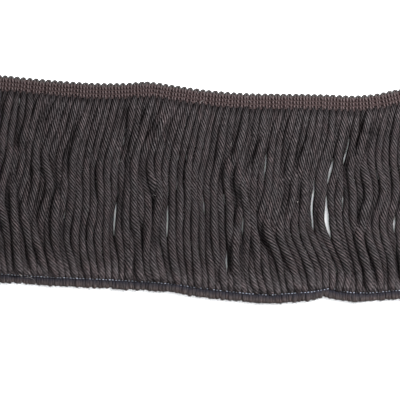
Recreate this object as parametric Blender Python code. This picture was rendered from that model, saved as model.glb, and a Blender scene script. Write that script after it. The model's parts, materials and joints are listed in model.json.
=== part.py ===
"""A cut length of tassel fringe trim, 10 cm deep, lying flat.

A knitted heading tape carries picot loops along its upper edge and one twisted cord for each picot below it.
The cords' looped ends are held in line by a retaining stitch, which is pulled out once the trim is sewn on.
Lengths in this script are in millimetres. The heading runs along X, the cords run towards -Y, and Z is up.
"""

import bmesh
import bpy
import numpy as np
from mathutils import Vector

MM = 0.001

# The cut length: one picot and one cord for each pitch.
PITCH = 3.0
CORDS = 72
LENGTH = CORDS * PITCH

# The heading tape and its picot edging, measured down from the tops of the picots.
PICOT_WIDTH = 2.7
PICOT_RISE = 1.4
EDGING_DEPTH = 2.0
EDGING_THICKNESS = 1.3
HEADING_DEPTH = 7.4
HEADING_BASE = 1.0
RIB_HEIGHT = 0.6
RIBS = 4
SEAT_GAP = 0.3

# The fringe: a root strip under the heading's edge, the cords, and their looped ends.
ROOT_STRIP = 0.9
CORD_GAP = 0.36
CORD_CHAMFER = 0.42
STITCH_TO_END = 4.2
THREAD_DIAMETER = 0.7

# The line through the tops of the picots as the trim lies: distance along it, and place across it.
HEADING_LINE = (
    (-108.0, 56.0),
    (-97.0, 55.1),
    (-72.8, 52.8),
    (-48.0, 51.2),
    (-36.4, 51.3),
    (-25.2, 51.9),
    (-13.1, 50.3),
    (5.3, 47.7),
    (22.3, 46.4),
    (40.3, 46.1),
    (59.2, 45.8),
    (77.6, 45.3),
    (86.8, 46.3),
    (97.0, 48.5),
    (108.0, 50.4),
)

# The line through the looped ends, with the pucker that the retaining stitch draws up.
END_LINE = (
    (-120.0, -45.0),
    (-97.0, -45.6),
    (-78.0, -46.9),
    (-48.5, -48.2),
    (-19.4, -50.0),
    (9.7, -53.6),
    (24.3, -55.2),
    (33.0, -55.8),
    (43.7, -55.0),
    (53.4, -54.4),
    (59.2, -53.5),
    (64.0, -52.6),
    (68.9, -53.9),
    (76.1, -54.7),
    (97.0, -53.6),
    (110.0, -53.1),
)

# How the cords lean. Each row starts with a cord's root along the heading. The drifts after it are how far
# the cord lies to the side of its root at each of DEPTHS, from the heading at 0 to the stitch at 1.
DEPTHS = (0.0, 0.15, 0.30, 0.45, 0.60, 0.75, 0.90, 1.0)
DRIFTS = (
    (-108.0, (0, -1.5, -3.0, -4.0, -4.5, -4.5, -3.5, -3.0)),
    (-87.3, (0, -1.5, -2.5, -3.0, -3.5, -3.5, -3.0, -2.5)),
    (-80.0, (0, -3.0, -6.5, -7.5, -8.0, -8.0, -6.0, -5.0)),
    (-71.3, (0, -6.0, -10.5, -12.0, -13.5, -12.0, -8.5, -7.0)),
    (-58.7, (0, -4.5, -8.0, -9.5, -11.0, -12.0, -9.5, -8.0)),
    (-49.5, (0, -5.0, -9.0, -10.5, -11.5, -12.0, -10.5, -9.0)),
    (-39.3, (0, -2.0, -4.5, -7.0, -9.0, -9.5, -8.0, -7.5)),
    (-30.6, (0, -1.0, -2.0, -5.5, -7.0, -6.5, -4.5, -4.0)),
    (-22.8, (0, -3.0, -6.5, -9.0, -11.0, -10.0, -7.5, -6.0)),
    (-7.8, (0, -6.0, -10.5, -12.0, -14.0, -13.0, -12.0, -11.0)),
    (3.4, (0, -3.0, -5.5, -6.5, -5.0, -4.0, -3.0, -2.0)),
    (11.6, (0, -2.5, -5.5, -8.0, -7.5, -6.5, -5.0, -4.5)),
    (21.8, (0, -2.0, -3.5, -3.5, -4.0, -4.5, -5.0, -4.0)),
    (38.8, (0, -5.0, -11.5, -13.0, -11.5, -10.0, -8.0, -7.5)),
    (44.6, (0, -4.5, -8.0, -9.0, -9.0, -6.5, -3.0, -1.0)),
    (61.1, (0, -3.5, -6.5, -10.0, -11.5, -10.0, -4.0, -4.5)),
    (69.8, (0, -3.0, -4.5, -6.0, -9.0, -6.0, -1.5, -0.5)),
    (77.6, (0, -1.5, -1.5, -3.5, -4.0, -2.0, -0.5, -1.5)),
    (89.2, (0, -3.5, -7.5, -7.5, -6.0, -4.5, -2.0, -2.0)),
    (108.0, (0, -2.0, -3.0, -3.0, -2.5, -2.0, -1.5, -1.0)),
)
DRIFT_SMOOTHING = 30

# Where neighbouring cords part and the surface beneath shows: the place along the trim, the depth of the
# middle, half the length as a share of the depth, and the width.
PARTINGS = (
    (63.8, 0.36, 0.07, 1.0),
    (63.0, 0.63, 0.14, 1.5),
    (53.4, 0.58, 0.16, 0.7),
    (72.3, 0.27, 0.10, 0.5),
    (-43.4, 0.62, 0.08, 0.6),
    (-15.3, 0.62, 0.13, 0.5),
    (30.3, 0.33, 0.07, 0.6),
)

# A cord's thickness from its root to the stitch, pinched by the thread, and on to its looped end.
CORD_STATIONS = (
    (0.0, 1.5),
    (0.06, 2.5),
    (0.17, 3.0),
    (0.29, 3.1),
    (0.41, 3.1),
    (0.53, 3.1),
    (0.65, 3.1),
    (0.77, 3.1),
    (0.89, 3.0),
    (0.97, 2.5),
    (1.0, 1.7),
)
# Past the stitch, as a share of STITCH_TO_END.
LOOP_STATIONS = ((0.45, 3.3), (0.85, 2.9), (1.0, 1.6))

# Driving grid steps for the meshes.
HEADING_STEPS = 48
PICOT_ARC_POINTS = 6
THREAD_STEP = 4.0


def smooth_line(points):
    """A function through these points whose slope runs on from one stretch to the next."""
    along, across = np.array(points, float).T
    slope = np.gradient(across, along)

    def line(x):
        x = np.clip(x, along[0], along[-1])
        k = np.clip(np.searchsorted(along, x) - 1, 0, len(along) - 2)
        step = along[k + 1] - along[k]
        s = (x - along[k]) / step
        start = (1 + 2 * s) * (1 - s) ** 2 * across[k] + s * (1 - s) ** 2 * step * slope[k]
        end = s * s * (3 - 2 * s) * across[k + 1] - s * s * (1 - s) * step * slope[k + 1]
        return start + end

    return line


heading_line = smooth_line(HEADING_LINE)
end_line = smooth_line(END_LINE)


def material(name, colour, roughness):
    """A plain cloth surface: no metal, with this colour and roughness."""
    made = bpy.data.materials.new(name)
    made.use_nodes = True
    shader = made.node_tree.nodes["Principled BSDF"]
    shader.inputs["Base Color"].default_value = (*colour, 1.0)
    shader.inputs["Roughness"].default_value = roughness
    shader.inputs["Metallic"].default_value = 0.0
    made.diffuse_color = (*colour, 1.0)
    return made


def new_object(name, data, collection, look):
    """Links the data as an object of the trim, in its material."""
    made = bpy.data.objects.new(name, data)
    made.data.materials.append(look)
    collection.objects.link(made)
    return made


def raised_mesh(name, bm, crown):
    """Closes a flat sheet that lies on Z = 0 into a solid: its copy goes to the places kept in crown."""
    made = bmesh.ops.extrude_face_region(bm, geom=bm.faces[:])
    for item in made["geom"]:
        if isinstance(item, bmesh.types.BMVert):
            item.co = item[crown]
    bmesh.ops.recalc_face_normals(bm, faces=bm.faces[:])
    bmesh.ops.triangulate(bm, faces=bm.faces[:])
    mesh = bpy.data.meshes.new(name)
    bm.to_mesh(mesh)
    bm.free()
    return mesh


def heading_tape(collection, look):
    """The knitted tape: a strip with a flat back, and one rib along it for each row of knitting."""
    width = HEADING_DEPTH - EDGING_DEPTH - SEAT_GAP
    rows = 2 * RIBS
    bm = bmesh.new()
    bmesh.ops.create_grid(bm, x_segments=HEADING_STEPS, y_segments=rows, size=0.5)
    crown = bm.verts.layers.float_vector.new("crown")
    for vert in bm.verts:
        x = vert.co.x * LENGTH
        share = 0.5 - vert.co.y
        y = heading_line(x) - EDGING_DEPTH - SEAT_GAP - share * width
        on_rib = round(share * rows) % 2 == 1
        vert.co = Vector((x, y, 0.0)) * MM
        vert[crown] = vert.co + Vector((0.0, 0.0, HEADING_BASE + RIB_HEIGHT * on_rib)) * MM
    return new_object("heading_tape", raised_mesh("heading_tape", bm, crown), collection, look)


def picot_edging(collection, look):
    """The picot loops above the tape: a narrow strip whose outer edge is a row of half-round scallops."""
    scallop = []
    for n in range(CORDS):
        middle = (n + 0.5) * PITCH - LENGTH / 2
        for angle in np.linspace(np.pi, 0.0, PICOT_ARC_POINTS):
            x = middle + PICOT_WIDTH / 2 * np.cos(angle)
            scallop.append((x, heading_line(x) - PICOT_RISE * (1.0 - np.sin(angle))))
    ends = np.linspace(LENGTH / 2, -LENGTH / 2, CORDS // 2 + 1)
    outline = scallop + [(x, heading_line(x) - EDGING_DEPTH) for x in ends]
    curve = bpy.data.curves.new("picot_edging", "CURVE")
    curve.dimensions = "2D"
    curve.fill_mode = "BOTH"
    curve.extrude = EDGING_THICKNESS / 2 * MM
    spline = curve.splines.new("POLY")
    spline.points.add(len(outline) - 1)
    for point, (x, y) in zip(spline.points, outline):
        point.co = (x * MM, y * MM, 0.0, 1.0)
    spline.use_cyclic_u = True
    made = new_object("picot_edging", curve, collection, look)
    made.location.z = EDGING_THICKNESS / 2 * MM
    return made


def drift_table():
    """The drift of each line between two cords at each of DEPTHS, evened out so that no cord is squeezed."""
    roots = np.linspace(-LENGTH / 2, LENGTH / 2, CORDS + 1)
    guides = [root for root, _ in DRIFTS]
    shares = np.array([drifts for _, drifts in DRIFTS], float)
    table = np.array([np.interp(roots, guides, column) for column in shares.T]).T
    for _ in range(DRIFT_SMOOTHING):
        table[1:-1] = (table[:-2] + 2 * table[1:-1] + table[2:]) / 4
    return roots, table


def parting_gaps(roots, table, depth):
    """The gap between neighbouring cords at this depth, one for each line between them."""
    gaps = np.full(len(roots), CORD_GAP)
    for place, middle, half, width in PARTINGS:
        lines = roots + [np.interp(middle, DEPTHS, row) for row in table]
        nearest = int(np.argmin(np.abs(lines - place)))
        reach = abs(depth - middle) / half
        gaps[nearest] += width * max(0.0, 1.0 - reach**2)
    return gaps


def cord_edges():
    """For each station, the places of the lines between cords, their gaps, and the cords' thickness there."""
    roots, table = drift_table()
    start = heading_line(roots) - HEADING_DEPTH - SEAT_GAP - ROOT_STRIP
    last = roots + table[:, -1]
    stitch = end_line(last) + STITCH_TO_END
    for depth, thickness in CORD_STATIONS:
        x = roots + [smooth_line(list(zip(DEPTHS, row)))(depth) for row in table]
        y = start + depth * (stitch - start)
        yield x, y, parting_gaps(roots, table, depth), thickness
    for share, thickness in LOOP_STATIONS:
        yield last, stitch - share * STITCH_TO_END, np.full(len(roots), CORD_GAP), thickness


def fringe(collection, look):
    """The cords, side by side and apart, fused at their roots into the strip under the tape's lower edge."""
    bm = bmesh.new()
    crown = bm.verts.layers.float_vector.new("crown")

    def vertex(x, y, inset, height):
        made = bm.verts.new(Vector((x, y, 0.0)) * MM)
        made[crown] = Vector((x + inset, y, height)) * MM
        return made

    stations = list(cord_edges())
    x, y, gaps, thickness = stations[0]
    rows = [(x, y + ROOT_STRIP, gaps, thickness, 0.0)]
    rows += [(*station, CORD_CHAMFER if n else 0.0) for n, station in enumerate(stations)]
    left, right = [], []
    for x, y, gaps, thickness, chamfer in rows:
        lefts = zip(x[:-1] + gaps[:-1] / 2, y[:-1])
        rights = zip(x[1:] - gaps[1:] / 2, y[1:])
        left.append([vertex(a, b, chamfer, thickness) for a, b in lefts])
        right.append([vertex(a, b, -chamfer, thickness) for a, b in rights])
    for n in range(CORDS):
        for upper in range(len(rows) - 1):
            lower = upper + 1
            bm.faces.new((left[upper][n], left[lower][n], right[lower][n], right[upper][n]))
        if n:
            bm.faces.new((right[0][n - 1], right[1][n - 1], left[1][n], left[0][n]))
    return new_object("fringe", raised_mesh("fringe", bm, crown), collection, look)


def retaining_stitch(collection, look):
    """The thread that holds the cords' looped ends in line. It lies in the pinch that it makes across them."""
    pinch = CORD_STATIONS[-1][1]
    roots, table = drift_table()
    ends = roots[[0, -1]] + table[[0, -1], -1]
    count = int(round((ends[1] - ends[0]) / THREAD_STEP)) + 1
    curve = bpy.data.curves.new("retaining_stitch", "CURVE")
    curve.dimensions = "3D"
    curve.bevel_depth = THREAD_DIAMETER / 2 * MM
    curve.bevel_resolution = 2
    curve.use_fill_caps = True
    spline = curve.splines.new("POLY")
    spline.points.add(count - 1)
    for point, x in zip(spline.points, np.linspace(*ends, count)):
        z = pinch + SEAT_GAP + THREAD_DIAMETER / 2
        point.co = (x * MM, (end_line(x) + STITCH_TO_END) * MM, z * MM, 1.0)
    return new_object("retaining_stitch", curve, collection, look)


def centre_on_floor(parts):
    """Hangs the parts on one empty, set so that the middle of their footprint is at the origin."""
    bpy.context.view_layer.update()
    graph = bpy.context.evaluated_depsgraph_get()
    points = []
    for part in parts:
        mesh = part.evaluated_get(graph).to_mesh()
        points += [part.matrix_world @ vert.co for vert in mesh.vertices]
    low, high = np.min(points, axis=0), np.max(points, axis=0)
    holder = bpy.data.objects.new("trim_origin", None)
    parts[0].users_collection[0].objects.link(holder)
    holder.location = (-(low[0] + high[0]) / 2, -(low[1] + high[1]) / 2, -low[2])
    for part in parts:
        part.parent = holder


def main():
    for old in list(bpy.data.objects):
        bpy.data.objects.remove(old)
    collection = bpy.data.collections.new("tassel_fringe_trim")
    bpy.context.scene.collection.children.link(collection)
    charcoal = material("charcoal_cord", (0.040, 0.034, 0.036), 0.9)
    brown = material("brown_tape", (0.095, 0.070, 0.070), 0.85)
    pale = material("pale_thread", (0.50, 0.55, 0.66), 0.6)
    parts = [
        heading_tape(collection, brown),
        picot_edging(collection, charcoal),
        fringe(collection, charcoal),
        retaining_stitch(collection, pale),
    ]
    centre_on_floor(parts)


main()
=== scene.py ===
import json

import bpy
import numpy as np
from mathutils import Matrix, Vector

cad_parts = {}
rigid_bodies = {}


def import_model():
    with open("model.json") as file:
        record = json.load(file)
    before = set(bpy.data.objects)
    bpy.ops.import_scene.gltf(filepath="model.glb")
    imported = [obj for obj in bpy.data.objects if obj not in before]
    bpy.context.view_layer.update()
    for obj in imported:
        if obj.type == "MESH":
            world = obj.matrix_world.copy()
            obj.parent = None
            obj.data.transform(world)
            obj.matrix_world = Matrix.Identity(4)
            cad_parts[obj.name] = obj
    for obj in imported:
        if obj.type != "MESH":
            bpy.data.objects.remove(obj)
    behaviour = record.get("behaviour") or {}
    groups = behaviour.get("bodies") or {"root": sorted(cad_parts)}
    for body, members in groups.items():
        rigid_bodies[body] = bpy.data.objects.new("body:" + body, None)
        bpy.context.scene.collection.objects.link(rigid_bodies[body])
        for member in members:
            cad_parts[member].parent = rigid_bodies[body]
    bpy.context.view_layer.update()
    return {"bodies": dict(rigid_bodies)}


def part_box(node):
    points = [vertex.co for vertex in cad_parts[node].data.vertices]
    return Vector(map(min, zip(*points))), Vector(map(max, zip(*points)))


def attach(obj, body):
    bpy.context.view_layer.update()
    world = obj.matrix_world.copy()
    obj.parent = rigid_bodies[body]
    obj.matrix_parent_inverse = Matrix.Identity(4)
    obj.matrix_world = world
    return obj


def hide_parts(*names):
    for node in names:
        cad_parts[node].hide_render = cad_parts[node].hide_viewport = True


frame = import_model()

# Tape ground.
# The heading is a crochet-knit cotton tape, 216 mm of it here. This is its close inner layer, where brown
# yarns cross flat. Little light reaches it, so it shows dark in the holes of what is knitted over it.
MM = 0.001
# No yarn or hair goes nearer the surface than this.
LOWEST = 0.05
CORDS = 72
PITCH = 3.0
LENGTH = CORDS * PITCH
TAPE_TOP = 2.3
TAPE_BOTTOM = 7.4
HEADING_LINE = (
    (-108.0, 56.0),
    (-97.0, 55.1),
    (-72.8, 52.8),
    (-48.0, 51.2),
    (-36.4, 51.3),
    (-25.2, 51.9),
    (-13.1, 50.3),
    (5.3, 47.7),
    (22.3, 46.4),
    (40.3, 46.1),
    (59.2, 45.8),
    (77.6, 45.3),
    (86.8, 46.3),
    (97.0, 48.5),
    (108.0, 50.4),
)
GROUND_STEPS = 108
GROUND_ROWS = (2.35, 4.4, 6.4)
GROUND_HALF_WIDTH = 1.2
GROUND_HEIGHT = 0.8

tape_low, tape_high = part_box("heading_tape")
shift = Vector(((tape_low.x + tape_high.x) / 2, tape_high.y - (HEADING_LINE[0][1] - TAPE_TOP) * MM, 0.0))


def smooth_line(points):
    """A function through these points whose slope runs on from one stretch to the next."""
    along, across = np.array(points, float).T
    slope = np.gradient(across, along)

    def line(x):
        x = np.clip(x, along[0], along[-1])
        k = np.clip(np.searchsorted(along, x) - 1, 0, len(along) - 2)
        step = along[k + 1] - along[k]
        s = (x - along[k]) / step
        start = (1 + 2 * s) * (1 - s) ** 2 * across[k] + s * (1 - s) ** 2 * step * slope[k]
        end = s * s * (3 - 2 * s) * across[k + 1] - s * s * (1 - s) * step * slope[k + 1]
        return start + end

    return line


heading_line = smooth_line(HEADING_LINE)


def add(tree, kind, inputs=None, **settings):
    """Adds a node with its settings, and links or sets the inputs named."""
    made = tree.nodes.new(kind)
    for name, value in settings.items():
        setattr(made, name, value)
    for socket, value in (inputs or {}).items():
        if isinstance(value, bpy.types.NodeSocket):
            tree.links.new(value, made.inputs[socket])
        else:
            made.inputs[socket].default_value = value
    return made


def calc(tree, operation, *values):
    """The result of a sum worked out in a tree."""
    return add(tree, "ShaderNodeMath", dict(enumerate(values)), operation=operation).outputs[0]


def yarn_tree():
    """Lays a yarn along each path: a ring of strands with grooves between them, twisted by the path's turn.

    Paths carry half_width, turn and squash at each point, and the tint of their yarn.
    """
    tree = bpy.data.node_groups.new("twisted_yarn", "GeometryNodeTree")
    for name, kind in (
        ("Paths", "Geometry"),
        ("Strands", "Int"),
        ("Sides", "Int"),
        ("Groove", "Float"),
        ("Ply Hollow", "Float"),
        ("Finish", "Material"),
    ):
        tree.interface.new_socket(name=name, in_out="INPUT", socket_type="NodeSocket" + kind)
    tree.interface.new_socket(name="Yarn", in_out="OUTPUT", socket_type="NodeSocketGeometry")
    given = add(tree, "NodeGroupInput").outputs

    def named(name):
        read = add(tree, "GeometryNodeInputNamedAttribute", {"Name": name}, data_type="FLOAT")
        return read.outputs["Attribute"]

    def kept(geometry, name, value, kind="FLOAT"):
        inputs = {"Geometry": geometry, "Name": name}
        store = add(tree, "GeometryNodeStoreNamedAttribute", inputs, data_type=kind)
        tree.links.new(value, store.inputs["Value"])
        return store.outputs["Geometry"]

    rail = add(tree, "GeometryNodeMeshToCurve", {"Mesh": given["Paths"]}).outputs["Curve"]
    spot = add(tree, "ShaderNodeSeparateXYZ", {0: add(tree, "GeometryNodeInputPosition").outputs[0]}).outputs
    rail = kept(rail, "height", spot["Z"])
    rail = kept(rail, "along", add(tree, "GeometryNodeSplineParameter").outputs["Length"])
    rail = add(tree, "GeometryNodeSetCurveNormal", {"Curve": rail}, mode="Z_UP").outputs["Curve"]
    rail = add(tree, "GeometryNodeSetCurveTilt", {"Curve": rail, "Tilt": named("turn")}).outputs["Curve"]

    ring = add(tree, "GeometryNodeCurvePrimitiveCircle", {"Resolution": given["Sides"], "Radius": 1.0})
    round_it = add(tree, "GeometryNodeSplineParameter").outputs["Factor"]
    half_turns = calc(tree, "MULTIPLY", round_it, calc(tree, "MULTIPLY", given["Strands"], np.pi))
    strand_dip = calc(tree, "SUBTRACT", 1.0, calc(tree, "ABSOLUTE", calc(tree, "SINE", half_turns)))
    ply_turn = calc(tree, "ABSOLUTE", calc(tree, "SINE", calc(tree, "MULTIPLY", round_it, 2 * np.pi)))
    ply_dip = calc(tree, "POWER", calc(tree, "SUBTRACT", 1.0, ply_turn), 2.0)
    dip = calc(
        tree,
        "ADD",
        calc(tree, "MULTIPLY", strand_dip, given["Groove"]),
        calc(tree, "MULTIPLY", ply_dip, given["Ply Hollow"]),
    )

    position = add(tree, "GeometryNodeInputPosition").outputs[0]
    profile = kept(ring.outputs["Curve"], "ring", position, "FLOAT_VECTOR")
    profile = kept(profile, "crown", calc(tree, "SUBTRACT", 1.0, strand_dip))

    lobed = add(
        tree,
        "ShaderNodeVectorMath",
        {0: position, "Scale": calc(tree, "SUBTRACT", 1.0, dip)},
        operation="SCALE",
    ).outputs[0]
    profile = add(tree, "GeometryNodeSetPosition", {"Geometry": profile, "Position": lobed}).outputs[0]

    yarn = add(
        tree,
        "GeometryNodeCurveToMesh",
        {"Curve": rail, "Profile Curve": profile, "Scale": named("half_width"), "Fill Caps": True},
    ).outputs["Mesh"]
    swept = add(tree, "ShaderNodeSeparateXYZ", {0: position}).outputs
    height = named("height")
    pressed = calc(tree, "MULTIPLY", calc(tree, "SUBTRACT", swept["Z"], height), named("squash"))
    level = calc(tree, "MAXIMUM", calc(tree, "ADD", pressed, height), LOWEST * MM)
    place = add(tree, "ShaderNodeCombineXYZ", {"X": swept["X"], "Y": swept["Y"], "Z": level}).outputs[0]
    upward = calc(tree, "DIVIDE", calc(tree, "SUBTRACT", swept["Z"], height), named("half_width"))
    yarn = kept(yarn, "upward", upward)
    yarn = add(tree, "GeometryNodeSetPosition", {"Geometry": yarn, "Position": place}).outputs[0]
    yarn = add(tree, "GeometryNodeSetShadeSmooth", {"Geometry": yarn}).outputs[0]
    yarn = add(tree, "GeometryNodeRealizeInstances", {"Geometry": yarn}).outputs[0]
    yarn = add(tree, "GeometryNodeSetMaterial", {"Geometry": yarn, "Material": given["Finish"]}).outputs[0]
    add(tree, "NodeGroupOutput", {0: yarn})
    return tree


def path_mesh(runs):
    """One mesh of open lines. Each run gives its points, in mm from the trim's own middle, and its yarn's
    size, twist, flatness, tint and shade there. What a run leaves out has its usual value.
    """
    mesh = bpy.data.meshes.new("paths")
    spots = [(np.asarray(run["points"], float) * MM + np.array(shift)).tolist() for run in runs]
    starts = np.cumsum([0] + [len(points) for points in spots])
    edges = [
        (a, a + 1)
        for start, points in zip(starts, spots)
        for a in range(start, start + len(points) - 1)
    ]
    mesh.from_pydata([spot for points in spots for spot in points], edges, [])
    usually = (
        ("half_width", MM, 1.0),
        ("turn", 1.0, 0.0),
        ("squash", 1.0, 1.0),
        ("tint", 1.0, 0.5),
        ("crease_shade", 1.0, 0.0),
        ("sunk", 1.0, 0.0),
        ("lit", 1.0, 0.0),
    )
    for name, unit, usual in usually:
        values = np.concatenate([
            np.broadcast_to(run.get(name, usual), len(points)) * unit
            for run, points in zip(runs, spots)
        ])
        attribute = mesh.attributes.new(name, "FLOAT", "POINT")
        attribute.data.foreach_set("value", values.astype(np.float32))
    return mesh


def grown(name, tree, seed_mesh, **sizes):
    """The piece that a tree makes from a mesh, as a plain mesh object at the origin."""
    seed = bpy.data.objects.new(name + "_seed", seed_mesh)
    bpy.context.scene.collection.objects.link(seed)
    modifier = seed.modifiers.new(tree.name, "NODES")
    modifier.node_group = tree
    for item in tree.interface.items_tree:
        if item.name in sizes:
            modifier[item.identifier] = sizes[item.name]
    graph = bpy.context.evaluated_depsgraph_get()
    mesh = bpy.data.meshes.new_from_object(seed.evaluated_get(graph))
    bpy.data.objects.remove(seed)
    mesh.name = name
    piece = bpy.data.objects.new(name, mesh)
    bpy.context.scene.collection.objects.link(piece)
    return piece


# The painted dark navy shade where the stitch pinches a yarn into a crease, how dark the painted shade is
# where it lies under others, and the tone that fluff gives its grooves. Where painted light falls on it, how
# far its grooves fill, to what tone, and how much it lightens.
CREASE_SHADE_COLOUR = (0.0068, 0.0071, 0.0105)
SUNK_TONE = 0.36
HAZE_TONE = 0.55
LIT_FILL = 0.5
LIT_GROOVE = 0.85
LIT_GAIN = 0.25
# How much lighter or darker than its yarn a strand may be, how far apart the patterns of two yarns lie, and
# how deep the fibres stand in mm.
STRAND_SPREAD = 0.38
PATTERN_SHIFT = 37.0
FIBRE_DEPTH = 0.1


def yarn_finish(
    name, colour, warm, groove_shade=0.2, flank_shade=1.0, roughness=0.9, fibre_bump=0.5, streak=0.3,
    shine=0.03,
):
    """A matt yarn: fine fibres along its strands, painted shade in the grooves between them, and patches of
    a warmer tint.

    The flank shade is painted shade: how dark its sides are, where the fuzz between two yarns keeps the
    light out.
    Its path says where the stitch pinches it into painted shade, where it lies in painted shade under higher
    neighbours, and where it lies flat under painted light.
    """
    finish = bpy.data.materials.new(name)
    finish.use_nodes = True
    tree = finish.node_tree
    shader = tree.nodes["Principled BSDF"]

    def attribute(attribute_name, output="Fac"):
        return add(tree, "ShaderNodeAttribute", attribute_name=attribute_name).outputs[output]

    def mixed(share, first_colour, second_colour):
        blend = add(tree, "ShaderNodeMix", {"Factor": share}, data_type="RGBA")
        for socket, value in (("A", first_colour), ("B", second_colour)):
            entry = next(s for s in blend.inputs if s.name == socket and s.type == "RGBA")
            if isinstance(value, bpy.types.NodeSocket):
                tree.links.new(value, entry)
            else:
                entry.default_value = (*value, 1.0)
        return next(s for s in blend.outputs if s.type == "RGBA")

    along = calc(tree, "MULTIPLY", attribute("along"), 1.0 / MM)
    ring = add(tree, "ShaderNodeSeparateXYZ", {0: attribute("ring", "Vector")}).outputs
    seat = calc(tree, "MULTIPLY", attribute("tint"), PATTERN_SHIFT)

    def noise(around, lengthwise, detail):
        """A pattern over the yarn: how fine it is around it and for each mm along it, and its detail."""
        spot = add(tree, "ShaderNodeCombineXYZ", {
            "X": calc(tree, "MULTIPLY_ADD", ring["X"], around, seat),
            "Y": calc(tree, "MULTIPLY", ring["Y"], around),
            "Z": calc(tree, "MULTIPLY", along, lengthwise),
        }).outputs[0]
        made = add(tree, "ShaderNodeTexNoise", {
            "Vector": spot, "Scale": 1.0, "Detail": detail, "Roughness": 0.65,
        })
        return made.outputs["Fac"]

    def ranged(value, low, high, to_low, to_high):
        """The value, moved from its own low and high to another low and high, and held between those."""
        made = add(tree, "ShaderNodeMapRange", {
            "Value": value, "From Min": low, "From Max": high, "To Min": to_low, "To Max": to_high,
        })
        return made.outputs[0]

    fibres = noise(4.0, 0.9, 5.0)
    body = mixed(ranged(noise(0.6, 0.05, 2.0), 0.40, 0.70, 0.0, 1.0), colour, warm)
    # Painted shade: the grooves between the strands are darkened down to the groove shade.
    ragged = calc(tree, "MULTIPLY_ADD", noise(3.0, 0.6, 3.0), 0.5, attribute("crown"))
    groove = ranged(ragged, 0.80, 1.25, groove_shade, 1.0)
    haze = ranged(noise(1.3, 0.35, 3.0), 0.45, 0.70, 0.0, 0.35)
    groove = calc(tree, "MULTIPLY_ADD", haze, calc(tree, "SUBTRACT", HAZE_TONE, groove), groove)
    strand_tone = ranged(noise(2.0, 0.7, 2.0), 0.3, 0.7, 1 - STRAND_SPREAD, 1 + STRAND_SPREAD)
    # Painted shade: darker on the yarn's sides, where it lies under higher neighbours, and under the tape's
    # edge.
    flank = ranged(attribute("upward"), 0.0, 0.80, flank_shade, 1.0)
    shaded = calc(tree, "MULTIPLY", flank, ranged(attribute("sunk"), 0.0, 1.0, 1.0, SUNK_TONE))
    # Painted light: near the stitch the grooves fill in and the whole yarn is made lighter.
    lit = attribute("lit")
    filled = calc(tree, "MULTIPLY", lit, LIT_FILL)
    groove = calc(tree, "MULTIPLY_ADD", filled, calc(tree, "SUBTRACT", LIT_GROOVE, groove), groove)
    shaded = calc(tree, "MULTIPLY_ADD", shaded, calc(tree, "MULTIPLY", lit, LIT_GAIN), shaded)
    tone = calc(tree, "MULTIPLY", calc(tree, "MULTIPLY", groove, strand_tone), shaded)
    tone = calc(tree, "MULTIPLY", tone, ranged(fibres, 0.3, 0.7, 1 - streak, 1 + streak))
    toned = add(tree, "ShaderNodeVectorMath", {0: body, "Scale": tone}, operation="SCALE").outputs[0]
    # Painted shade: where the stitch pinches a yarn into a crease, its colour goes to a dark navy.
    shade = mixed(attribute("crease_shade"), toned, CREASE_SHADE_COLOUR)
    tree.links.new(shade, shader.inputs["Base Color"])
    bump = add(tree, "ShaderNodeBump", {
        "Height": fibres, "Strength": fibre_bump, "Distance": FIBRE_DEPTH * MM,
    })
    tree.links.new(bump.outputs[0], shader.inputs["Normal"])
    shader.inputs["Roughness"].default_value = roughness
    shader.inputs["Specular IOR Level"].default_value = shine
    return finish


twisted_yarn = yarn_tree()
root_body = next(iter(frame["bodies"]))


def fitted(piece, node):
    """Hides the node that the piece stands for, and makes the piece move with the trim."""
    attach(piece, root_body)
    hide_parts(node)
    return piece


ground_x = np.linspace(-LENGTH / 2, LENGTH / 2, GROUND_STEPS + 1)
ground_z = np.full_like(ground_x, GROUND_HEIGHT / 2)
ground_finish = yarn_finish("tape_ground", (0.050, 0.034, 0.034), (0.056, 0.036, 0.037))
ground_runs = [
    {
        "points": np.stack([ground_x, heading_line(ground_x) - row, ground_z], 1),
        "half_width": GROUND_HALF_WIDTH,
        "squash": GROUND_HEIGHT / 2 / GROUND_HALF_WIDTH,
        "tint": row / TAPE_BOTTOM,
    }
    for row in GROUND_ROWS
]
tape_ground = grown(
    "tape_ground", twisted_yarn, path_mesh(ground_runs), Strands=8, Sides=24, Groove=0.05,
    Finish=ground_finish,
)
fitted(tape_ground, "heading_tape")

# Tape weft and chains.
# The weft yarns pass up and down the tape, one for each stitch column, and show as small light ovals in
# three rows. Chain stitches of the same brown cotton bind them down and run along it between the rows.
COLUMNS = 2 * CORDS
COLUMN_PITCH = LENGTH / COLUMNS
OVALS = (2.80, 4.65, 6.60)
OVAL_HALF_LENGTH = 0.66
OVAL_HALF_WIDTH = 0.47
OVAL_TOP = 1.70
OVAL_FOOT = 0.95
OVAL_LEAN = 0.05
OVAL_TURN = 1.6
OVAL_TAPER = 0.55
TIES = (1.95, 3.72, 5.62, 7.45)
CHAIN_HALF_WIDTH = 0.24
CHAIN_TOP = 1.50
# The two sides of a chain stitch overlap the next stitch, lie apart, bow out, dip at its ends and twist.
CHAIN_OVERLAP = 0.5
CHAIN_APART = 0.10
CHAIN_BOW = 0.16
CHAIN_DIP = 0.28
CHAIN_TURN = 5


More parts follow.
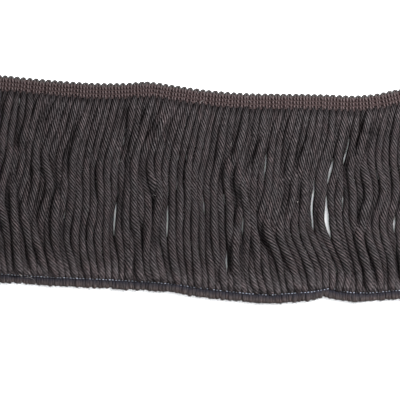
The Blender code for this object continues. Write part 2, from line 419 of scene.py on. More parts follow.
def row_tree():
    """Sets copies of a unit along a line, each turned with the line and a little uneven."""
    tree = bpy.data.node_groups.new("row_of_stitches", "GeometryNodeTree")
    for name, kind in (
        ("Line", "Geometry"),
        ("Unit", "Object"),
        ("Count", "Int"),
        ("Turn Spread", "Float"),
        ("Size Spread", "Float"),
        ("Seed", "Int"),
        ("Finish", "Material"),
    ):
        tree.interface.new_socket(name=name, in_out="INPUT", socket_type="NodeSocket" + kind)
    tree.interface.new_socket(name="Row", in_out="OUTPUT", socket_type="NodeSocketGeometry")
    given = add(tree, "NodeGroupInput").outputs
    line = add(tree, "GeometryNodeMeshToCurve", {"Mesh": given["Line"]}).outputs["Curve"]
    spots = add(tree, "GeometryNodeCurveToPoints", {"Curve": line, "Count": given["Count"]}, mode="COUNT")
    facing = add(
        tree,
        "FunctionNodeAlignRotationToVector",
        {"Vector": spots.outputs["Tangent"]},
        axis="X",
        pivot_axis="Z",
    ).outputs[0]

    def spread(amount, middle, seed_step):
        low = calc(tree, "SUBTRACT", middle, amount)
        high = calc(tree, "ADD", middle, amount)
        seed = calc(tree, "ADD", given["Seed"], seed_step)
        made = add(tree, "FunctionNodeRandomValue", {2: low, 3: high, "Seed": seed}, data_type="FLOAT")
        return made.outputs[1]

    lean = add(tree, "ShaderNodeCombineXYZ", {"Z": spread(given["Turn Spread"], 0.0, 1.0)}).outputs[0]
    turned = add(tree, "FunctionNodeRotateRotation", {0: facing, 1: lean}, rotation_space="LOCAL").outputs[0]
    size = add(tree, "ShaderNodeCombineXYZ", {
        "X": spread(given["Size Spread"], 1.0, 2.0),
        "Y": spread(calc(tree, "MULTIPLY", given["Size Spread"], 0.3), 1.0, 3.0),
        "Z": spread(given["Size Spread"], 1.0, 4.0),
    }).outputs[0]
    unit = add(tree, "GeometryNodeObjectInfo", {"Object": given["Unit"]}).outputs["Geometry"]
    row = add(tree, "GeometryNodeInstanceOnPoints", {
        "Points": spots.outputs["Points"], "Instance": unit, "Rotation": turned, "Scale": size,
    }).outputs[0]
    tinted = add(tree, "GeometryNodeStoreNamedAttribute", {
        "Geometry": row, "Name": "tint", "Value": spread(0.5, 0.5, 5.0),
    }, data_type="FLOAT", domain="INSTANCE").outputs[0]
    row = add(tree, "GeometryNodeRealizeInstances", {"Geometry": tinted}).outputs[0]
    row = add(tree, "GeometryNodeSetMaterial", {"Geometry": row, "Material": given["Finish"]}).outputs[0]
    add(tree, "NodeGroupOutput", {0: row})
    return tree


stitch_row = row_tree()


def unit_yarn(name, runs, **sizes):
    """A unit for a row: yarns around the trim's own zero, with nothing added for where the trim lies."""
    mesh = path_mesh(runs)
    for vert in mesh.vertices:
        vert.co -= shift
    unit = grown(name, twisted_yarn, mesh, **sizes)
    unit.data.attributes.remove(unit.data.attributes["tint"])
    return unit


def row_along(name, unit, line, ends, count, finish, seed, turn_spread=0.0, size_spread=0.0):
    """Sets the unit along a line from one end to the other, and leaves only the finished row."""
    x = np.linspace(*ends, 4 * COLUMNS + 1)
    run = {"points": np.stack([x, line(x), np.zeros_like(x)], 1)}
    row = grown(name, stitch_row, path_mesh([run]), **{
        "Unit": unit,
        "Count": count,
        "Turn Spread": turn_spread,
        "Size Spread": size_spread,
        "Seed": seed,
        "Finish": finish,
    })
    bpy.data.objects.remove(unit)
    return row


oval_s = np.linspace(-1, 1, 9)
oval_runs = [
    {
        "points": np.stack([
            OVAL_LEAN * oval_s,
            -oval - OVAL_HALF_LENGTH * oval_s,
            OVAL_FOOT + (OVAL_TOP - OVAL_HALF_WIDTH - OVAL_FOOT) * (1 - oval_s ** 4),
        ], 1),
        "half_width": OVAL_HALF_WIDTH * (1 - OVAL_TAPER * np.abs(oval_s) ** 3),
        "turn": oval_s * OVAL_TURN,
    }
    for oval in OVALS
]
oval_finish = yarn_finish("brown_cotton", (0.072, 0.0555, 0.0558), (0.077, 0.0555, 0.0565), groove_shade=0.50)
column = unit_yarn("weft", oval_runs, Strands=3, Sides=9, Groove=0.14, Finish=oval_finish)
half_length = LENGTH / 2
column_ends = (COLUMN_PITCH / 2 - half_length, half_length - COLUMN_PITCH / 2)
tape_weft = row_along(
    "tape_weft", column, heading_line, column_ends, COLUMNS, oval_finish, seed=11, turn_spread=0.05,
    size_spread=0.16,
)
fitted(tape_weft, "heading_tape")

loop_s = np.linspace(0, 1, 6)
chain_runs = [
    {
        "points": np.stack([
            (loop_s - 0.5) * (COLUMN_PITCH + CHAIN_OVERLAP),
            -tie + side * (CHAIN_APART + CHAIN_BOW * np.sin(np.pi * loop_s)),
            CHAIN_TOP - CHAIN_HALF_WIDTH - CHAIN_DIP * np.cos(np.pi * loop_s) ** 2,
        ], 1),
        "half_width": CHAIN_HALF_WIDTH,
        "turn": loop_s * CHAIN_TURN,
    }
    for tie in TIES
    for side in (-1, 1)
]
chain_finish = yarn_finish("brown_binding", (0.047, 0.034, 0.033), (0.052, 0.034, 0.035), groove_shade=0.6)
chain_unit = unit_yarn("chain", chain_runs, Strands=2, Sides=6, Groove=0.12, Finish=chain_finish)
tape_chains = row_along(
    "tape_chains", chain_unit, heading_line, column_ends, COLUMNS, chain_finish, seed=23, turn_spread=0.05,
    size_spread=0.08,
)
fitted(tape_chains, "heading_tape")

# Picots.
# Along its upper edge the tape's charcoal yarn turns over in a row of small fat loops, one above each cord.
# Each is one turn of a soft yarn, bound down at its foot by a brown stitch.
PICOT_HALF_WIDTH = 0.83
PICOT_DROP = 1.00
PICOT_FOOT = 2.35
PICOT_YARN = 0.60
PICOT_HEIGHT = 0.95
# From this depth down a picot's legs sink into the tape at this slope, and from just above it they taper.
LEGS_SINK_FROM = 1.7
LEGS_SLOPE = 0.2
LEGS_TAPER_FROM = 1.3
LEGS_TAPER = 0.12
PICOT_TURN = -8
# The binding stitch: its depth, half its length, its ends' height, how far its middle rises, and its yarn.
BINDER_DEPTH = 2.1
BINDER_HALF_LENGTH = 0.55
BINDER_FOOT = 0.9
BINDER_RISE = 0.42
BINDER_YARN = 0.36
BINDER_TAPER = 0.5
picot_angle = np.linspace(np.pi, 0.0, 11)
leg_v = np.array([PICOT_FOOT, 2.0, 1.7])
leg_x = np.array([0.72, 0.80, 0.82])
arch_v = PICOT_YARN + PICOT_DROP * (1 - np.sin(picot_angle) ** 0.6)
arch_x = PICOT_HALF_WIDTH * np.sign(np.cos(picot_angle)) * np.abs(np.cos(picot_angle)) ** 0.8
picot_x = np.concatenate([-leg_x, arch_x, leg_x[::-1]])
picot_v = np.concatenate([leg_v, arch_v, leg_v[::-1]])
picot_z = PICOT_HEIGHT - LEGS_SLOPE * np.clip(picot_v - LEGS_SINK_FROM, 0, None)
picot_run = {
    "points": np.stack([picot_x, -picot_v, picot_z], 1),
    "half_width": PICOT_YARN * (1 - LEGS_TAPER * np.clip(picot_v - LEGS_TAPER_FROM, 0, 1)),
    "turn": np.linspace(0, PICOT_TURN, len(picot_x)),
}
picot_finish = yarn_finish("charcoal_picot", (0.060, 0.056, 0.055), (0.063, 0.054, 0.054), groove_shade=0.4)
picot_unit = unit_yarn("picot", [picot_run], Strands=4, Sides=12, Groove=0.16, Finish=picot_finish)
picot_ends = (PITCH / 2 - half_length, half_length - PITCH / 2)
picots = row_along(
    "picots", picot_unit, heading_line, picot_ends, CORDS, picot_finish, seed=31, turn_spread=0.10,
    size_spread=0.07,
)
fitted(picots, "picot_edging")
binder_run = {
    "points": np.stack([
        OVAL_LEAN * oval_s,
        -BINDER_DEPTH - BINDER_HALF_LENGTH * oval_s,
        BINDER_FOOT + BINDER_RISE * (1 - oval_s ** 4),
    ], 1),
    "half_width": BINDER_YARN * (1 - BINDER_TAPER * np.abs(oval_s) ** 3),
    "turn": oval_s * OVAL_TURN,
}
binder_unit = unit_yarn("binder", [binder_run], Strands=3, Sides=9, Groove=0.14, Finish=oval_finish)
picot_binders = row_along(
    "picot_binders", binder_unit, heading_line, picot_ends, CORDS, oval_finish, seed=37, turn_spread=0.3,
    size_spread=0.15,
)
fitted(picot_binders, "heading_tape")

# Cords.
# One thick charcoal cotton cord hangs below each picot. Two bundles of soft yarns are twisted together, so
# fine strands run round it aslant. The cords lie loose on the surface, lean, part, and ride over each other.
END_LINE = (
    (-120.0, -45.0),
    (-97.0, -45.6),
    (-78.0, -46.9),
    (-48.5, -48.2),
    (-19.4, -50.0),
    (9.7, -53.6),
    (24.3, -55.2),
    (33.0, -55.8),
    (43.7, -55.0),
    (53.4, -54.4),
    (59.2, -53.5),
    (64.0, -52.6),
    (68.9, -53.9),
    (76.1, -54.7),
    (97.0, -53.6),
    (110.0, -53.1),
)
STITCH_TO_END = 3.9
# How the cords lean. Each row starts with a cord's root along the heading. The drifts after it are how far
# the cord lies to the side of its root at each of DEPTHS, from the heading at 0 to the stitch at 1.
DEPTHS = (0.0, 0.15, 0.30, 0.45, 0.60, 0.75, 0.90, 1.0)
DRIFTS = (
    (-108.0, (0, -1.5, -3.0, -4.0, -4.5, -4.5, -3.5, -3.0)),
    (-87.3, (0, -1.5, -2.5, -3.0, -3.5, -3.5, -3.0, -2.5)),
    (-80.0, (0, -3.0, -6.5, -7.5, -8.0, -8.0, -6.0, -5.0)),
    (-71.3, (0, -6.0, -10.5, -12.0, -13.5, -12.0, -8.5, -7.0)),
    (-58.7, (0, -4.5, -8.0, -9.5, -11.0, -12.0, -9.5, -8.0)),
    (-49.5, (0, -5.0, -9.0, -10.5, -11.5, -12.0, -10.5, -9.0)),
    (-39.3, (0, -2.0, -4.5, -7.0, -9.0, -9.5, -8.0, -7.5)),
    (-30.6, (0, -1.0, -2.0, -5.5, -7.0, -6.5, -4.5, -4.0)),
    (-22.8, (0, -3.0, -6.5, -9.0, -11.0, -10.0, -7.5, -6.0)),
    (-7.8, (0, -6.0, -10.5, -12.0, -14.0, -13.0, -12.0, -11.0)),
    (3.4, (0, -3.0, -5.5, -6.5, -5.0, -4.0, -3.0, -2.0)),
    (11.6, (0, -2.5, -5.5, -8.0, -7.5, -6.5, -5.0, -4.5)),
    (21.8, (0, -2.0, -3.5, -3.5, -4.0, -4.5, -5.0, -4.0)),
    (38.8, (0, -5.0, -11.5, -13.0, -11.5, -10.0, -8.0, -7.5)),
    (44.6, (0, -4.5, -8.0, -9.0, -9.5, -8.0, -3.0, -1.0)),
    (54.0, (0, -3.5, -7.0, -9.5, -11.0, -9.0, -0.5, 1.0)),
    (61.1, (0, -3.0, -6.0, -8.5, -11.0, -7.0, 2.5, 2.5)),
    (69.8, (0, -2.5, -6.0, -7.2, -7.6, -2.5, 2.0, 2.5)),
    (77.6, (0, -1.5, -3.0, -4.0, -4.5, -1.0, 1.5, 1.0)),
    (89.2, (0, -3.5, -7.5, -7.5, -6.0, -4.5, -2.0, -2.0)),
    (108.0, (0, -2.0, -3.0, -3.0, -2.5, -2.0, -1.5, -1.0)),
)
DRIFT_SMOOTHING = 5
# Where neighbouring cords part and the surface beneath shows: the place along the trim, the depth of the
# middle and half the length as shares of the whole depth, and the width.
PARTINGS = (
    (63.8, 0.330, 0.060, 1.35),
    (62.5, 0.600, 0.120, 1.3),
    (52.9, 0.530, 0.150, 0.55),
    (59.6, 0.616, 0.050, 0.6),
    (72.0, 0.225, 0.075, 0.6),
    (69.0, 0.493, 0.060, 0.7),
    (65.4, 0.440, 0.050, 0.5),
    (66.5, 0.863, 0.050, 0.4),
    (30.3, 0.278, 0.060, 0.6),
    (-15.0, 0.660, 0.100, 0.42),
    (-43.0, 0.628, 0.080, 0.33),
    (12.5, 0.517, 0.045, 0.4),
    (12.6, 0.848, 0.045, 0.4),
    (3.2, 0.530, 0.050, 0.4),
    (20.7, 0.634, 0.070, 0.4),
    (94.1, 0.636, 0.065, 0.4),
    (-36.5, 0.227, 0.045, 0.3),
)
# A parting is begun this much wider, since the cords close up again. Beside it they hardly sway: how much
# less, and how far along the trim and down the cord, in mm and in parting lengths.
PARTING_EXTRA = 0.3
PARTING_CALM = 0.9
CALM_ALONG = 7
CALM_DOWN = 1.3
# A root starts this far up under the tape's lower edge.
ROOT_TUCK = 0.2
# A cord's strands, the length of one turn at its root and at the stitch, how lumpy it is over what length,
# and how deep its strands' grooves and the hollow between its two bundles are.
STRANDS = 8
LAY_AT_ROOT = 15.0
LAY_AT_STITCH = 16.5
LUMPS = 0.09
LUMP_LENGTH = 4.0
STRAND_GROOVE = 0.20
PLY_HOLLOW = 0.05
# A cord's half-width at each distance from its root.
CORD_SHAPE = (
    (0.0, 1.15),
    (1.2, 1.50),
    (2.5, 1.70),
    (4.0, 1.78),
    (9.0, 1.88),
    (20.0, 1.98),
    (50.0, 2.06),
    (85.0, 2.06),
    (110.0, 1.92),
)
CORD_SIZE_SPREAD = 0.06
CORD_SQUASH = 0.86
STATIONS = 80
# How far the cords sway aside and rise, and how strong each of their waves is, the longest first.
SWAY = 6.5
LIFT = 2.5
LIFT_START = 0.5
LIFT_RISE = 0.9
WAVES = (0.42, 0.48, 0.48, 0.40, 0.34, 0.30, 0.26, 0.22)
# Evening out: how near and how far neighbours may lie, as shares of their two half-widths or of the pitch,
# and at most in mm, which narrows over the last part of the cord. Then what each round takes up and
# straightens.
SPACING = (0.30, 0.93)
PITCH_SPACING = 1.06
WIDEST = 4.2
WIDEST_AT_STITCH = 3.2
NARROWS_FROM = 0.85
EVENING_ROUNDS = 600
EVENED = 0.25
EVENED_STRAIGHT = 0.03
# Settling: what share of their half-widths pressed cords keep between them, how near neighbours stay, and
# how much of a push goes aside, along and up. In each round they spring back and straighten, aside and in
# height, and then push apart, close up and part, by these shares.
PRESS_TOGETHER = 0.74
CLOSE_UP = 0.92
PUSH_SHARE = np.array([0.12, 0.0, 1.0])
SETTLE_ROUNDS = 400
SPRING_ASIDE = 0.10
SPRING_HEIGHT = 0.05
STRAIGHT_ASIDE = 0.3
STRAIGHT_HEIGHT = 0.5
PUSHED = 0.25
CLOSED = 0.1
PARTED = 0.3
SMOOTHING_ROUNDS = 40
SMOOTHED = 0.25
# How high a cord's middle lies: at its root, and as shares of its half-width at the stitch and at rest.
ROOT_HEIGHT = 0.55
STITCH_HEIGHT = 0.7
RESTING = 0.97
rng = np.random.default_rng(7211)
end_line = smooth_line(END_LINE)


def guides():
    """Where each cord would lie with nothing in its way, at STATIONS places from its root to the stitch."""
    roots = (np.arange(CORDS) + 0.5) * PITCH - LENGTH / 2
    depth = np.linspace(0, 1, STATIONS)
    table = np.array([
        np.interp(roots, [row[0] for row in DRIFTS], column)
        for column in np.array([row[1] for row in DRIFTS], float).T
    ]).T
    for _ in range(DRIFT_SMOOTHING):
        table[1:-1] = (table[:-2] + 2 * table[1:-1] + table[2:]) / 4
    x = roots[:, None] + np.array([smooth_line(list(zip(DEPTHS, row)))(depth) for row in table])
    top = heading_line(roots) - TAPE_BOTTOM + ROOT_TUCK
    foot = end_line(x[:, -1]) + STITCH_TO_END
    y = top[:, None] + depth * (foot - top)[:, None]
    gap = np.zeros((CORDS - 1, STATIONS))
    sway = np.ones((CORDS, STATIONS))
    for place, middle, half, width in PARTINGS:
        along = ((x - place) / CALM_ALONG) ** 2
        down = ((depth - middle) / (CALM_DOWN * half)) ** 2
        sway *= 1 - PARTING_CALM * np.exp(-along - down)
        station = int(round(middle * (STATIONS - 1)))
        between = int(np.argmin(np.abs((x[:-1, station] + x[1:, station]) / 2 - place)))
        opening = np.clip(1 - ((depth - middle) / half) ** 2, 0, None) ** 0.6
        gap[between] += (width + PARTING_EXTRA) * opening
    return x, y, gap, sway


def settled(x, y, gap, swayed):
    """Lets the cords sink and push one another aside until they lie on the surface and over one another."""
    run = np.cumsum(np.hypot(np.diff(x), np.diff(y)), axis=1)
    run = np.concatenate([np.zeros((CORDS, 1)), run], axis=1)
    size = rng.normal(1.0, CORD_SIZE_SPREAD, (CORDS, 1))
    half = np.interp(run, *np.array(CORD_SHAPE).T) * size
    share = np.linspace(0, 1, STATIONS)
    phases = rng.uniform(0, 2 * np.pi, (2, CORDS, len(WAVES)))
    sizes = rng.normal(0, 1, (2, CORDS, len(WAVES)))
    sway, rise = [
        sum(
            WAVES[n] * sizes[k][:, [n]] * np.sin(np.pi * (n + 1) * share + phases[k][:, [n]])
            for n in range(len(WAVES))
        )
        for k in (0, 1)
    ]
    x += SWAY * sway * swayed * np.sin(np.pi * share)
    pair = half[1:] + half[:-1]
    widest = np.interp(share, (NARROWS_FROM, 1), (WIDEST, WIDEST_AT_STITCH))
    widest = np.minimum(np.maximum(SPACING[1] * pair, PITCH_SPACING * PITCH), widest)
    for _ in range(EVENING_ROUNDS):
        step = np.diff(x, axis=0)
        move = EVENED * (step - np.clip(step, SPACING[0] * pair, widest))
        x[:-1] += move
        x[1:] -= move
        x[:, 1:-1] += EVENED_STRAIGHT * ((x[:, :-2] + x[:, 2:]) / 2 - x[:, 1:-1])
    aim = x.copy()
    aim_z = CORD_SQUASH * half + LIFT * swayed * np.clip(LIFT_START + LIFT_RISE * rise, 0, 1)
    z = aim_z.copy()
    parted = gap > 0
    for _ in range(SETTLE_ROUNDS):
        z += SPRING_HEIGHT * (aim_z - z)
        x += SPRING_ASIDE * (aim - x)
        for values, stiff in ((x, STRAIGHT_ASIDE), (z, STRAIGHT_HEIGHT)):
            values[:, 1:-1] += stiff * ((values[:, :-2] + values[:, 2:]) / 2 - values[:, 1:-1])
        spot = np.stack([x, y, z], 2)
        ahead = np.gradient(spot, axis=1)
        ahead /= np.linalg.norm(ahead, axis=2, keepdims=True)
        for reach in (1, 2, 3):
            apart = spot[reach:] - spot[:-reach]
            apart -= (apart * ahead[reach:]).sum(2, keepdims=True) * ahead[reach:]
            far = np.linalg.norm(apart, axis=2) + 1e-9
            both = half[reach:] + half[:-reach]
            pushed = PUSHED * np.clip(PRESS_TOGETHER * both - far, 0, None)
            if reach == 1:
                pushed += np.where(parted, 0, CLOSED * np.clip(CLOSE_UP * both - far, None, 0))
            push = (pushed / far)[..., None] * apart * PUSH_SHARE
            spot[reach:] += push
            spot[:-reach] -= push
        x = spot[..., 0]
        short = np.where(parted, half[1:] + half[:-1] + gap - (x[1:] - x[:-1]), 0).clip(0)
        x[1:] += PARTED * short
        x[:-1] -= PARTED * short
        z = np.maximum(spot[..., 2], half * CORD_SQUASH * RESTING)
        x[:, 0], x[:, -1] = aim[:, 0], aim[:, -1]
        z[:, 0], z[:, -1] = ROOT_HEIGHT, half[:, -1] * STITCH_HEIGHT
    for _ in range(SMOOTHING_ROUNDS):
        for values in (x, z):
            values[:, 1:-1] += SMOOTHED * ((values[:, :-2] + values[:, 2:]) / 2 - values[:, 1:-1])
    return x, y, z, half


cord_x, cord_y, cord_z, cord_half = settled(*guides())
# How far each cord lies in the shade of a higher neighbour: up to how far away, from how much higher, and
# how much more than that makes the shade full.
SHADE_REACH = 6
SHADE_FROM = 0.4
SHADE_FULL = 1.4
cord_sunk = np.zeros((CORDS, STATIONS))
for reach in (1, 2):
    right, left = slice(reach, None), slice(None, -reach)
    for here, beside in ((right, left), (left, right)):
        near = np.clip(1 - np.abs(cord_x[here] - cord_x[beside]) / SHADE_REACH, 0, 1)
        cover = near * np.clip(cord_z[beside] - cord_z[here] - SHADE_FROM, 0, None)
        cord_sunk[here] = np.maximum(cord_sunk[here], np.clip(cover / SHADE_FULL, 0, 1))
# Around the stitch: the distance past it, the cord's half-width, how flat it is, and how dark its painted
# crease shade is.
PINCH = (
    (-3.2, 2.02, 0.84, 0.0),
    (-1.6, 2.02, 0.74, 0.0),
    (-0.9, 1.94, 0.57, 0.12),
    (0.0, 1.82, 0.44, 0.65),
    (0.8, 1.75, 0.43, 0.85),
)
PINCH_START = -3.2
PINCH_END = 0.8
PINCH_BLEND = 1.4
RING_STEP = 0.95
PINCH_STEP = 0.4
# The twist's direction and its spread from cord to cord, and how far the tape's shade falls on the cords.
TWIST = -1.0
LAY_SPREAD = 0.06
TAPE_SHADE = 5.0
# Near the stitch the cords are drawn flat and fluffy, and painted light makes them lighter: how much, and
# over what length.
LIT_AT_STITCH = 1.0
LIT_LENGTH = 12.0


def cord_run(n):
    """The path of one cord, from under the tape to just past the stitch."""
    spot = np.stack([cord_x[n], cord_y[n], cord_z[n]], 1)
    run = np.concatenate([[0], np.cumsum(np.linalg.norm(np.diff(spot, axis=0), axis=1))])
    whole = run[-1]
    body = np.linspace(0, whole + PINCH_START, int(round(whole / RING_STEP)))
    tail_steps = int(round((PINCH_END - PINCH_START) / PINCH_STEP))
    tail = np.linspace(whole + PINCH_START, whole + PINCH_END, tail_steps + 1)
    s = np.concatenate([body, tail[1:]])
    inside = np.minimum(s, whole)
    past = np.array(PINCH).T
    near = s - whole
    share = np.clip((near - PINCH_START) / PINCH_BLEND, 0, 1)
    half = np.interp(inside, run, cord_half[n]) * (1 - share) + np.interp(near, past[0], past[1]) * share
    lump = np.arange(0, whole + 2 * LUMP_LENGTH, LUMP_LENGTH)
    half *= 1 + np.interp(s, lump, rng.normal(0, LUMPS, len(lump))) * (1 - share)
    squash = CORD_SQUASH * (1 - share) + np.interp(near, past[0], past[2]) * share
    height = np.interp(inside, run, cord_z[n]) * (1 - share) + half * squash * share
    turns = s / LAY_AT_ROOT + (1 / LAY_AT_STITCH - 1 / LAY_AT_ROOT) * s ** 2 / (2 * whole)
    x = np.interp(inside, run, cord_x[n])
    y = np.interp(inside, run, cord_y[n]) - (s - inside)
    under_cords = np.interp(inside, run, cord_sunk[n]) * (1 - share)
    under_tape = np.clip(1 - s / TAPE_SHADE, 0, 1)
    return {
        "points": np.stack([x, y, height], 1),
        "half_width": half,
        "squash": squash,
        "turn": TWIST * 2 * np.pi * turns * rng.normal(1.0, LAY_SPREAD) + rng.uniform(0, 2 * np.pi),
        "tint": rng.uniform(),
        "crease_shade": np.interp(near, past[0], past[3]),
        "sunk": np.maximum(under_cords, under_tape),
        "lit": LIT_AT_STITCH * np.clip(1 + near / LIT_LENGTH, 0, 1),
    }


CORD_GROUPS = 4
cord_colour = (0.0480, 0.0426, 0.0446)
cord_warm = (0.0540, 0.0422, 0.0440)
cord_finish = yarn_finish(
    "charcoal_cord", cord_colour, cord_warm, groove_shade=0.02, flank_shade=0.32, fibre_bump=0.8, streak=0.85
)
cord_runs = [cord_run(n) for n in range(CORDS)]
cord_pieces = []
for group in range(CORD_GROUPS):
    share_of_cords = cord_runs[group * CORDS // CORD_GROUPS:(group + 1) * CORDS // CORD_GROUPS]
    cords = grown(f"cords_{group + 1}", twisted_yarn, path_mesh(share_of_cords), **{
        "Strands": STRANDS,
        "Sides": 3 * STRANDS,
        "Groove": STRAND_GROOVE,
        "Ply Hollow": PLY_HOLLOW,
        "Finish": cord_finish,
    })
    cord_pieces.append(fitted(cords, "fringe"))

# Cord roots.
# Under the tape's lower edge the cords are knitted in side by side. Close rows of their yarn fill the places
# between them there, coloured much darker than the cords as painted shade under the tape's edge.
ROOT_DEPTHS = (7.3, 8.5, 9.7)
ROOT_HALF_WIDTH = 0.9
ROOT_SQUASH = 0.45
ROOT_MIDDLE = 0.45
root_z = np.full_like(ground_x, ROOT_MIDDLE)
root_runs = [
    {
        "points": np.stack([ground_x, heading_line(ground_x) - depth, root_z], 1),
        "half_width": ROOT_HALF_WIDTH,
        "squash": ROOT_SQUASH,
        "tint": depth / 10,
    }
    for depth in ROOT_DEPTHS
]
# Painted shade: the roots' yarn is far darker than the cords' own, for the shade under the tape's edge.
root_shade_finish = yarn_finish("charcoal_roots_shaded", (0.019, 0.016, 0.017), (0.022, 0.016, 0.017))
cord_roots = grown(
    "cord_roots", twisted_yarn, path_mesh(root_runs), Strands=6, Sides=18, Groove=0.1, Finish=root_shade_finish
)
fitted(cord_roots, "fringe")

# Looped ends.
# Past the stitch each cord's twist opens, and its loop shows as two soft legs of straight strands side by
# side. The legs lie flat and close, and end almost in line.
LEG_STEPS = 17
LEG_OFFSET = 0.78
LEG_WIDER = 1.10
# For each depth past the stitch: a leg's half-width, how flat it is, and how dark its painted crease shade
# is.
LEG_SHAPE = (
    (-0.9, 0.60, 0.50, 0.8),
    (0.0, 0.80, 0.52, 1.0),
    (0.6, 0.88, 0.68, 0.95),
    (1.2, 1.02, 0.86, 0.92),
    (1.8, 1.10, 0.92, 0.75),
    (2.4, 1.14, 0.92, 0.35),
    (2.9, 1.14, 0.90, 0.08),
    (3.4, 1.08, 0.86, 0.0),
    (3.7, 0.86, 0.80, 0.0),
    (3.85, 0.40, 0.75, 0.0),
)
# How the legs differ: in length, in the way they point, in half-width and in how high they rise.
LEG_LENGTH_SPREAD = 0.05
LEG_SPLAY = 0.07
LEG_SIZE_SPREAD = 0.08
LEG_RISES = (0.5, 1.3)
# How far a leg rises off the surface at each depth.
LEG_RISE = ((-0.9, 0.0), (0.5, 0.1), (2.0, 0.35), (3.9, 0.2))
# The legs' strands hardly twist: the turn for each mm, and its spread.
LEG_TURN = -0.12
LEG_TURN_SPREAD = 0.08
leg_shape = np.array(LEG_SHAPE).T
leg_rise = np.array(LEG_RISE).T
room = np.gradient(cord_x[:, -1]) / PITCH
leg_runs = []
for n in range(CORDS):
    for side in (-1, 1):
        depth = np.linspace(leg_shape[0, 0], leg_shape[0, -1], LEG_STEPS)
        reach = rng.normal(1.0, LEG_LENGTH_SPREAD)
        out = side * LEG_OFFSET * room[n] + rng.normal(0, LEG_SPLAY) * np.clip(depth, 0, 3)
        half = np.interp(depth, leg_shape[0], leg_shape[1]) * room[n]
        half *= rng.normal(LEG_WIDER, LEG_SIZE_SPREAD)
        squash = np.interp(depth, leg_shape[0], leg_shape[2])
        rise = np.interp(depth, *leg_rise) * rng.uniform(*LEG_RISES)
        leg_runs.append({
            "points": np.stack([
                cord_x[n, -1] + out,
                cord_y[n, -1] - np.where(depth > 0, depth * reach, depth),
                half * squash + rise,
            ], 1),
            "half_width": half,
            "squash": squash,
            "turn": rng.uniform(0, 6) + depth * rng.normal(LEG_TURN, LEG_TURN_SPREAD),
            "tint": rng.uniform(),
            "crease_shade": np.interp(depth, leg_shape[0], leg_shape[3]),
        })
leg_finish = yarn_finish(
    "charcoal_loops", (0.044, 0.0370, 0.0365), (0.050, 0.0375, 0.0360), groove_shade=0.75, flank_shade=1.0,
    fibre_bump=1.0, streak=0.8,
)
looped_ends = grown(
    "looped_ends", twisted_yarn, path_mesh(leg_runs), Strands=6, Sides=18, Groove=0.13, Finish=leg_finish
)
fitted(looped_ends, "fringe")

# Fuzz.
# Cotton yarn is hairy. Short stray fibres stand off the cords and, more of them, off the looped ends, where
# they make the lower edge soft.
HAIR_LENGTH = 1.5
HAIR_HALF_WIDTH = 0.03
# How many hairs stand on a square mm.
CORD_HAIRS = 0.08
LOOP_HAIRS = 1.9
# A hair bends this far each way, starts this deep in the yarn, and thins by this share. Hairs grow where the
# yarn faces up or outward by more than this, lean by up to these angles, and their length is the usual one
# times a number between these two.
HAIR_BEND = (0.35, 0.2)
HAIR_DEPTH = 0.1
HAIR_TAPER = 0.6
FACES_OUT = 0.35
HAIR_LEAN = (1.2, 1.2, 3.1)
HAIR_SIZES = (0.4, 1.3)


def fuzz_tree():
    """Sets bent hairs on the upper and outer side of a piece, each leaning its own way."""
    tree = bpy.data.node_groups.new("fuzz", "GeometryNodeTree")
    for name, kind in (
        ("Yarn", "Geometry"), ("Hair", "Object"), ("Hairs", "Float"), ("Seed", "Int"), ("Finish", "Material")
    ):
        tree.interface.new_socket(name=name, in_out="INPUT", socket_type="NodeSocket" + kind)
    tree.interface.new_socket(name="Fuzz", in_out="OUTPUT", socket_type="NodeSocketGeometry")
    given = add(tree, "NodeGroupInput").outputs
    facing = add(tree, "ShaderNodeSeparateXYZ", {0: add(tree, "GeometryNodeInputNormal").outputs[0]}).outputs
    outer = calc(tree, "GREATER_THAN", calc(tree, "SUBTRACT", facing["Z"], facing["Y"]), FACES_OUT)
    spots = add(tree, "GeometryNodeDistributePointsOnFaces", {
        "Mesh": given["Yarn"], "Selection": outer, "Density": given["Hairs"], "Seed": given["Seed"],
    }).outputs
    lean = add(tree, "FunctionNodeRandomValue", {
        0: tuple(-angle for angle in HAIR_LEAN), 1: HAIR_LEAN, "Seed": given["Seed"],
    }, data_type="FLOAT_VECTOR").outputs[0]
    turned = add(tree, "FunctionNodeRotateRotation", {
        0: spots["Rotation"], 1: lean,
    }, rotation_space="LOCAL").outputs[0]
    size = add(tree, "FunctionNodeRandomValue", {
        2: HAIR_SIZES[0], 3: HAIR_SIZES[1], "Seed": calc(tree, "ADD", given["Seed"], 1.0),
    }, data_type="FLOAT").outputs[1]
    hair = add(tree, "GeometryNodeObjectInfo", {"Object": given["Hair"]}).outputs["Geometry"]
    fuzz = add(tree, "GeometryNodeInstanceOnPoints", {
        "Points": spots["Points"], "Instance": hair, "Rotation": turned, "Scale": size,
    }).outputs[0]
    fuzz = add(tree, "GeometryNodeRealizeInstances", {"Geometry": fuzz}).outputs[0]
    spot = add(tree, "ShaderNodeSeparateXYZ", {0: add(tree, "GeometryNodeInputPosition").outputs[0]}).outputs
    level = calc(tree, "MAXIMUM", spot["Z"], LOWEST * MM)
    above = add(tree, "ShaderNodeCombineXYZ", {"X": spot["X"], "Y": spot["Y"], "Z": level}).outputs[0]
    fuzz = add(tree, "GeometryNodeSetPosition", {"Geometry": fuzz, "Position": above}).outputs[0]
    fuzz = add(tree, "GeometryNodeSetMaterial", {"Geometry": fuzz, "Material": given["Finish"]}).outputs[0]
    add(tree, "NodeGroupOutput", {0: fuzz})
    return tree


